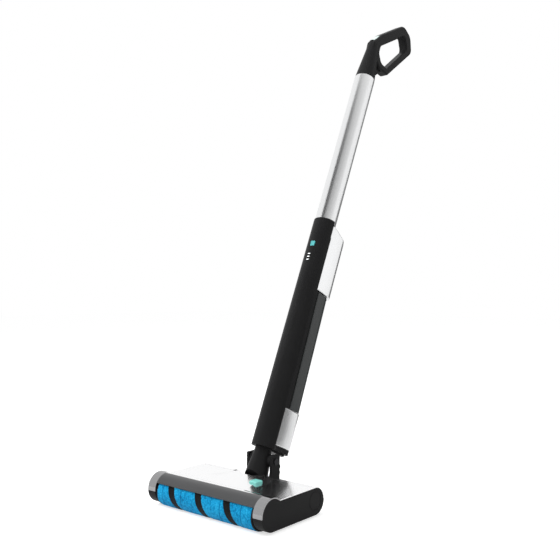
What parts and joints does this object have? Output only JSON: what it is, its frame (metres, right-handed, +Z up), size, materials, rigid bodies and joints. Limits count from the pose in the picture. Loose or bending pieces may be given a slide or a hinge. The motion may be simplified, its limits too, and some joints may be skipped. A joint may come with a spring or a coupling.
{
  "type": "wet and dry floor scrubber",
  "caption": "Cordless stick floor scrubber: a flat powered-roller head with a lift-out dirty water cassette, and a reclining stick with a clean water tank and a loop handle.",
  "frame": {"origin": "on the floor, under the middle of the roller head", "axes": "+X along the roller to the right, +Y to the rear, +Z up"},
  "size_m": [0.29, 0.762, 1.1104],
  "materials": {
    "black_plastic": "fine moulded matte",
    "inner_plastic": "plain moulded",
    "silver_cover": "satin metallic paint",
    "tube_aluminium": "satin anodised",
    "trim_metal": "bright brushed",
    "visor_grey": "satin",
    "tank_smoke": "smoked clear",
    "tank_dark": "moulded",
    "pile_blue": "short microfibre pile",
    "bristle_black": "stiff bristle strip",
    "core_metal": "extruded",
    "steel": "turned",
    "motor_steel": "rolled can",
    "soft_rubber": "soft",
    "bush_bronze": "sintered",
    "teal_button": "translucent teal",
    "power_teal": "lit translucent teal",
    "thumb_pale": "pale translucent",
    "light_white": "lit diffuser",
    "board_green": "glass epoxy",
    "cell_wrap": "shrink wrap",
    "spring_steel": "wire"
  },
  "bodies": {
    "head": {"base_chassis": "black_plastic", "end_cap_left": "black_plastic", "end_cap_right": "black_plastic", "corner_trim_left": "trim_metal", "corner_trim_right": "trim_metal", "hood_rail": "silver_cover", "roller_visor": "visor_grey", "spray_bar": "inner_plastic", "wiper_blade": "soft_rubber", "rear_cover_left": "silver_cover", "rear_cover_right": "silver_cover", "drive_motor": "motor_steel", "reduction_gearbox": "motor_steel", "motor_stub": "steel", "roller_bush": "bush_bronze", "wheel_axle_left": "steel", "wheel_axle_right": "steel", "swivel_ring": "inner_plastic"},
    "roller": {"roller_sleeve": "pile_blue", "bristle_strips": "bristle_black", "roller_core": "core_metal", "roller_flange_left": "black_plastic", "roller_flange_right": "black_plastic", "drive_dog": "core_metal", "drive_shaft": "steel"},
    "wheel_left": {"wheel_hub_left": "black_plastic", "wheel_tyre_left": "soft_rubber"},
    "wheel_right": {"wheel_hub_right": "black_plastic", "wheel_tyre_right": "soft_rubber"},
    "cassette": {"tank_lid": "silver_cover", "dirty_tank": "tank_dark", "lid_seal": "soft_rubber", "release_spring": "spring_steel"},
    "release": {"release_button": "teal_button"},
    "yoke": {"hinge_yoke": "black_plastic", "hinge_pin": "steel"},
    "stick": {"neck": "black_plastic", "foot_plate": "black_plastic", "column_shell": "black_plastic", "column_spine": "black_plastic", "lower_back_cover": "silver_cover", "upper_back_cover": "silver_cover", "charge_socket": "inner_plastic", "battery_cells": "cell_wrap", "cell_holder": "inner_plastic", "control_board": "board_green", "water_pump": "inner_plastic", "charge_lights": "light_white", "power_spring": "spring_steel", "tube_plug": "inner_plastic", "upper_tube": "tube_aluminium", "handle_left": "black_plastic", "handle_right": "black_plastic", "thumb_spring": "spring_steel"},
    "power": {"power_button": "power_teal"},
    "thumb": {"thumb_button": "thumb_pale"},
    "clean_water": {"clean_tank": "tank_smoke", "tank_front": "tank_smoke", "tank_valve": "soft_rubber"}
  },
  "joints": [
    {"name": "roller_spin", "type": "hinge", "parent": "head", "child": "roller", "pos_m": [0, -0.0572, 0.0288], "axis": [1, 0, 0], "continuous": true},
    {"name": "wheel_left_spin", "type": "hinge", "parent": "head", "child": "wheel_left", "pos_m": [-0.102, 0.07, 0.014], "axis": [1, 0, 0], "continuous": true},
    {"name": "wheel_right_spin", "type": "hinge", "parent": "head", "child": "wheel_right", "pos_m": [0.102, 0.07, 0.014], "axis": [1, 0, 0], "continuous": true},
    {"name": "cassette_lift", "type": "slide", "parent": "head", "child": "cassette", "axis": [0, 0, 1], "range_m": [0, 0.08]},
    {"name": "release_press", "type": "slide", "parent": "cassette", "child": "release", "axis": [0, 0, -1], "range_m": [0, 0.002], "stiffness_N_per_m": 600, "springref_m": -0.002, "deforming": ["release_spring"]},
    {"name": "steer_swivel", "type": "hinge", "parent": "head", "child": "yoke", "pos_m": [0, 0.072, 0.02], "axis": [0, 0, 1], "range_deg": [-30, 30]},
    {"name": "stick_recline", "type": "hinge", "parent": "yoke", "child": "stick", "pos_m": [0, 0.085, 0.08], "axis": [-1, 0, 0], "range_deg": [-24, 54]},
    {"name": "power_press", "type": "slide", "parent": "stick", "child": "power", "axis": [0, 0.9109, -0.4126], "range_m": [0, 0.0015], "stiffness_N_per_m": 600, "springref_m": -0.002, "deforming": ["power_spring"]},
    {"name": "thumb_press", "type": "slide", "parent": "stick", "child": "thumb", "axis": [0, 0.584, -0.8118], "range_m": [0, 0.0025], "stiffness_N_per_m": 500, "springref_m": -0.002, "deforming": ["thumb_spring"]},
    {"name": "tank_pull", "type": "slide", "parent": "stick", "child": "clean_water", "axis": [0, 0.9109, -0.4126], "range_m": [0, 0.06]}
  ]
}
